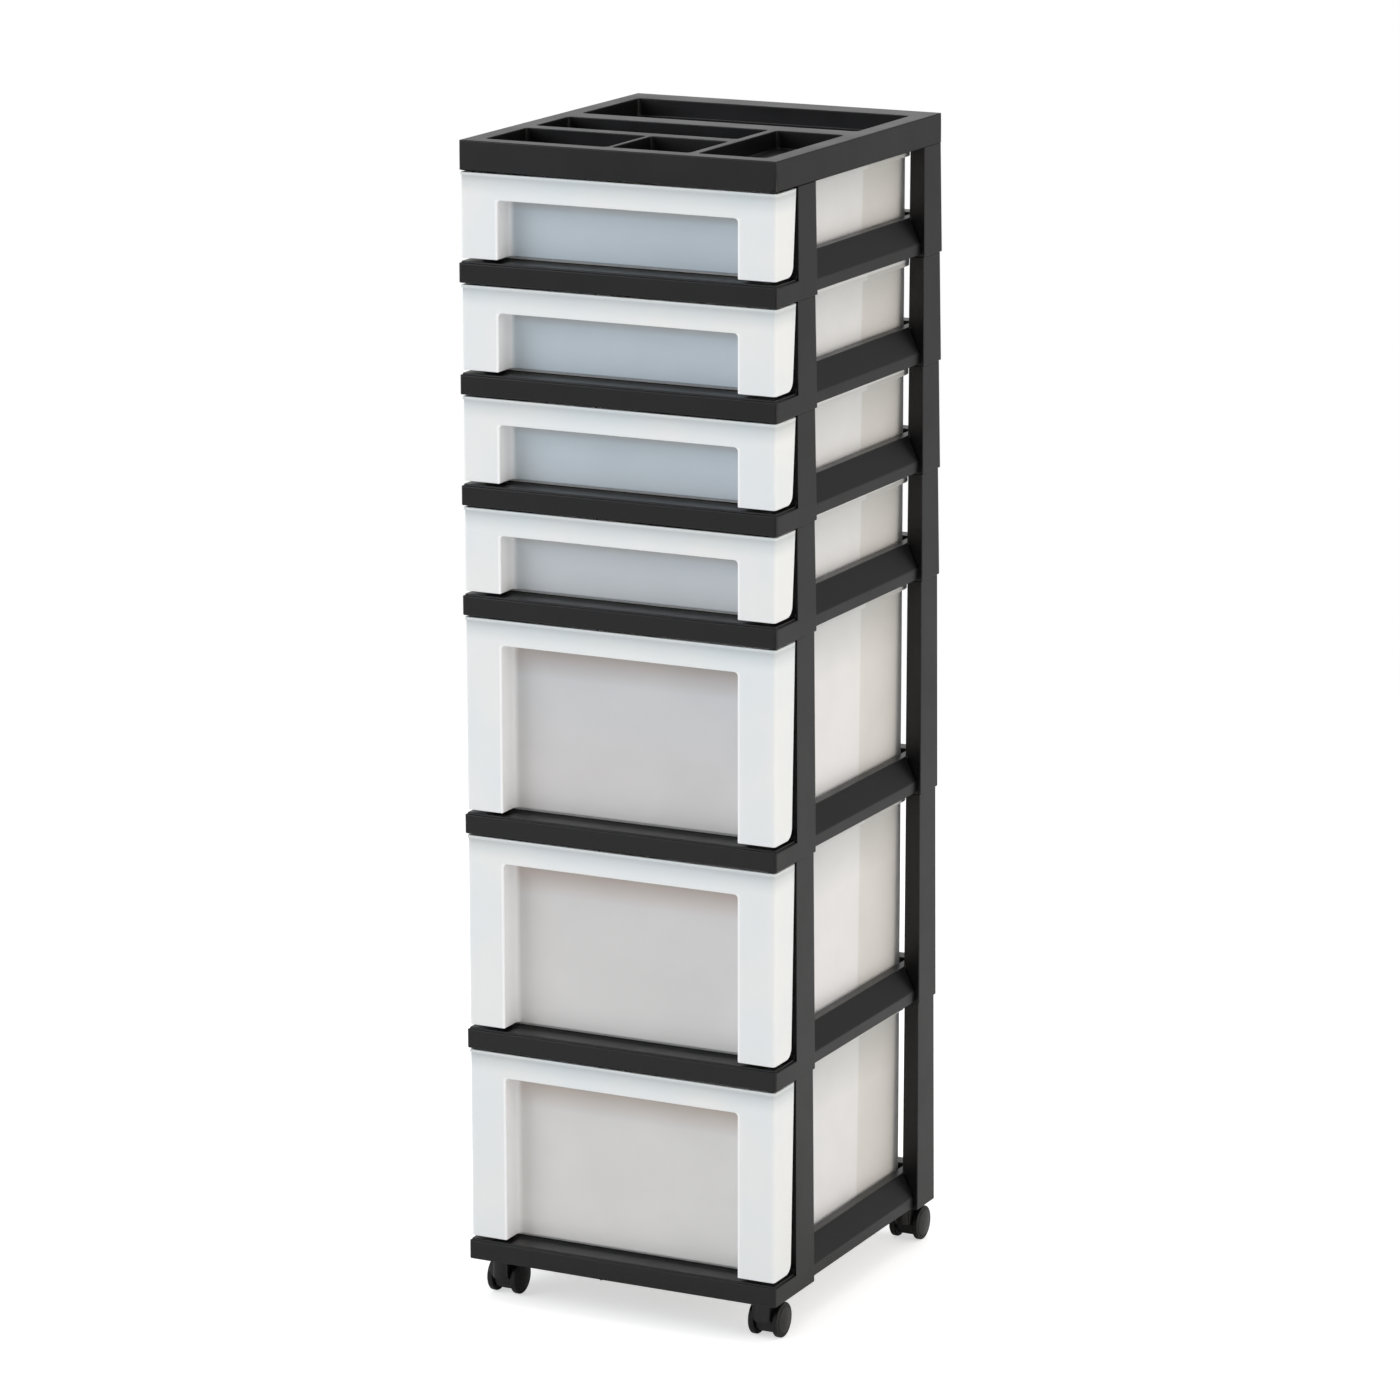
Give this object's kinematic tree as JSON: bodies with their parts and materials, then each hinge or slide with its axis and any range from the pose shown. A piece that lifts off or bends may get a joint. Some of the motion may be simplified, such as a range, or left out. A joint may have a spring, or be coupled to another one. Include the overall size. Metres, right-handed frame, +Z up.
{
  "type": "drawer tower",
  "caption": "Tall rolling tower of stacked black frames with frosted drawers, an open compartment tray on top and twin-wheel casters.",
  "frame": {"origin": "on the floor, under the middle of the footprint with the wheels included", "axes": "+Z up, the drawers open towards -Y, +X to the viewer's right"},
  "size_m": [0.307, 0.3498, 1.0544],
  "materials": {
    "frame_plastic": "satin moulded polypropylene",
    "frosted_plastic": "translucent moulded polypropylene, lightly frosted",
    "caster_plastic": "moulded nylon",
    "steel": "zinc-plated steel"
  },
  "bodies": {
    "tower": {"top_tray": "frame_plastic", "frame_1": "frame_plastic", "frame_2": "frame_plastic", "frame_3": "frame_plastic", "frame_4": "frame_plastic", "frame_5": "frame_plastic", "frame_6": "frame_plastic", "frame_7": "frame_plastic", "caster_front_left_stem": "steel", "caster_front_right_stem": "steel", "caster_rear_left_stem": "steel", "caster_rear_right_stem": "steel"},
    "drawer_1_body": {"drawer_1": "frosted_plastic"},
    "drawer_2_body": {"drawer_2": "frosted_plastic"},
    "drawer_3_body": {"drawer_3": "frosted_plastic"},
    "drawer_4_body": {"drawer_4": "frosted_plastic"},
    "drawer_5_body": {"drawer_5": "frosted_plastic"},
    "drawer_6_body": {"drawer_6": "frosted_plastic"},
    "drawer_7_body": {"drawer_7": "frosted_plastic"},
    "front_left_swivel_body": {"caster_front_left_housing": "caster_plastic", "caster_front_left_axle": "steel"},
    "front_left_left_wheel_body": {"caster_front_left_left_wheel": "caster_plastic"},
    "front_left_right_wheel_body": {"caster_front_left_right_wheel": "caster_plastic"},
    "front_right_swivel_body": {"caster_front_right_housing": "caster_plastic", "caster_front_right_axle": "steel"},
    "front_right_left_wheel_body": {"caster_front_right_left_wheel": "caster_plastic"},
    "front_right_right_wheel_body": {"caster_front_right_right_wheel": "caster_plastic"},
    "rear_left_swivel_body": {"caster_rear_left_housing": "caster_plastic", "caster_rear_left_axle": "steel"},
    "rear_left_left_wheel_body": {"caster_rear_left_left_wheel": "caster_plastic"},
    "rear_left_right_wheel_body": {"caster_rear_left_right_wheel": "caster_plastic"},
    "rear_right_swivel_body": {"caster_rear_right_housing": "caster_plastic", "caster_rear_right_axle": "steel"},
    "rear_right_left_wheel_body": {"caster_rear_right_left_wheel": "caster_plastic"},
    "rear_right_right_wheel_body": {"caster_rear_right_right_wheel": "caster_plastic"}
  },
  "joints": [
    {"name": "drawer_1_slide", "type": "slide", "parent": "tower", "child": "drawer_1_body", "axis": [0, -1, 0], "range_m": [0, 0.22]},
    {"name": "drawer_2_slide", "type": "slide", "parent": "tower", "child": "drawer_2_body", "axis": [0, -1, 0], "range_m": [0, 0.22]},
    {"name": "drawer_3_slide", "type": "slide", "parent": "tower", "child": "drawer_3_body", "axis": [0, -1, 0], "range_m": [0, 0.22]},
    {"name": "drawer_4_slide", "type": "slide", "parent": "tower", "child": "drawer_4_body", "axis": [0, -1, 0], "range_m": [0, 0.22]},
    {"name": "drawer_5_slide", "type": "slide", "parent": "tower", "child": "drawer_5_body", "axis": [0, -1, 0], "range_m": [0, 0.22]},
    {"name": "drawer_6_slide", "type": "slide", "parent": "tower", "child": "drawer_6_body", "axis": [0, -1, 0], "range_m": [0, 0.22]},
    {"name": "drawer_7_slide", "type": "slide", "parent": "tower", "child": "drawer_7_body", "axis": [0, -1, 0], "range_m": [0, 0.22]},
    {"name": "front_left_swivel", "type": "hinge", "parent": "tower", "child": "front_left_swivel_body", "pos_m": [-0.1315, -0.1547, 0.03], "axis": [0, 0, 1], "continuous": true},
    {"name": "front_left_left_wheel_spin", "type": "hinge", "parent": "front_left_swivel_body", "child": "front_left_left_wheel_body", "pos_m": [-0.1315, -0.1407, 0.016], "axis": [1, 0, 0], "continuous": true},
    {"name": "front_left_right_wheel_spin", "type": "hinge", "parent": "front_left_swivel_body", "child": "front_left_right_wheel_body", "pos_m": [-0.1315, -0.1407, 0.016], "axis": [1, 0, 0], "continuous": true},
    {"name": "front_right_swivel", "type": "hinge", "parent": "tower", "child": "front_right_swivel_body", "pos_m": [0.1315, -0.1547, 0.03], "axis": [0, 0, 1], "continuous": true},
    {"name": "front_right_left_wheel_spin", "type": "hinge", "parent": "front_right_swivel_body", "child": "front_right_left_wheel_body", "pos_m": [0.1315, -0.1407, 0.016], "axis": [1, 0, 0], "continuous": true},
    {"name": "front_right_right_wheel_spin", "type": "hinge", "parent": "front_right_swivel_body", "child": "front_right_right_wheel_body", "pos_m": [0.1315, -0.1407, 0.016], "axis": [1, 0, 0], "continuous": true},
    {"name": "rear_left_swivel", "type": "hinge", "parent": "tower", "child": "rear_left_swivel_body", "pos_m": [-0.1315, 0.1449, 0.03], "axis": [0, 0, 1], "continuous": true},
    {"name": "rear_left_left_wheel_spin", "type": "hinge", "parent": "rear_left_swivel_body", "child": "rear_left_left_wheel_body", "pos_m": [-0.1315, 0.1589, 0.016], "axis": [1, 0, 0], "continuous": true},
    {"name": "rear_left_right_wheel_spin", "type": "hinge", "parent": "rear_left_swivel_body", "child": "rear_left_right_wheel_body", "pos_m": [-0.1315, 0.1589, 0.016], "axis": [1, 0, 0], "continuous": true},
    {"name": "rear_right_swivel", "type": "hinge", "parent": "tower", "child": "rear_right_swivel_body", "pos_m": [0.1315, 0.1449, 0.03], "axis": [0, 0, 1], "continuous": true},
    {"name": "rear_right_left_wheel_spin", "type": "hinge", "parent": "rear_right_swivel_body", "child": "rear_right_left_wheel_body", "pos_m": [0.1315, 0.1589, 0.016], "axis": [1, 0, 0], "continuous": true},
    {"name": "rear_right_right_wheel_spin", "type": "hinge", "parent": "rear_right_swivel_body", "child": "rear_right_right_wheel_body", "pos_m": [0.1315, 0.1589, 0.016], "axis": [1, 0, 0], "continuous": true}
  ]
}
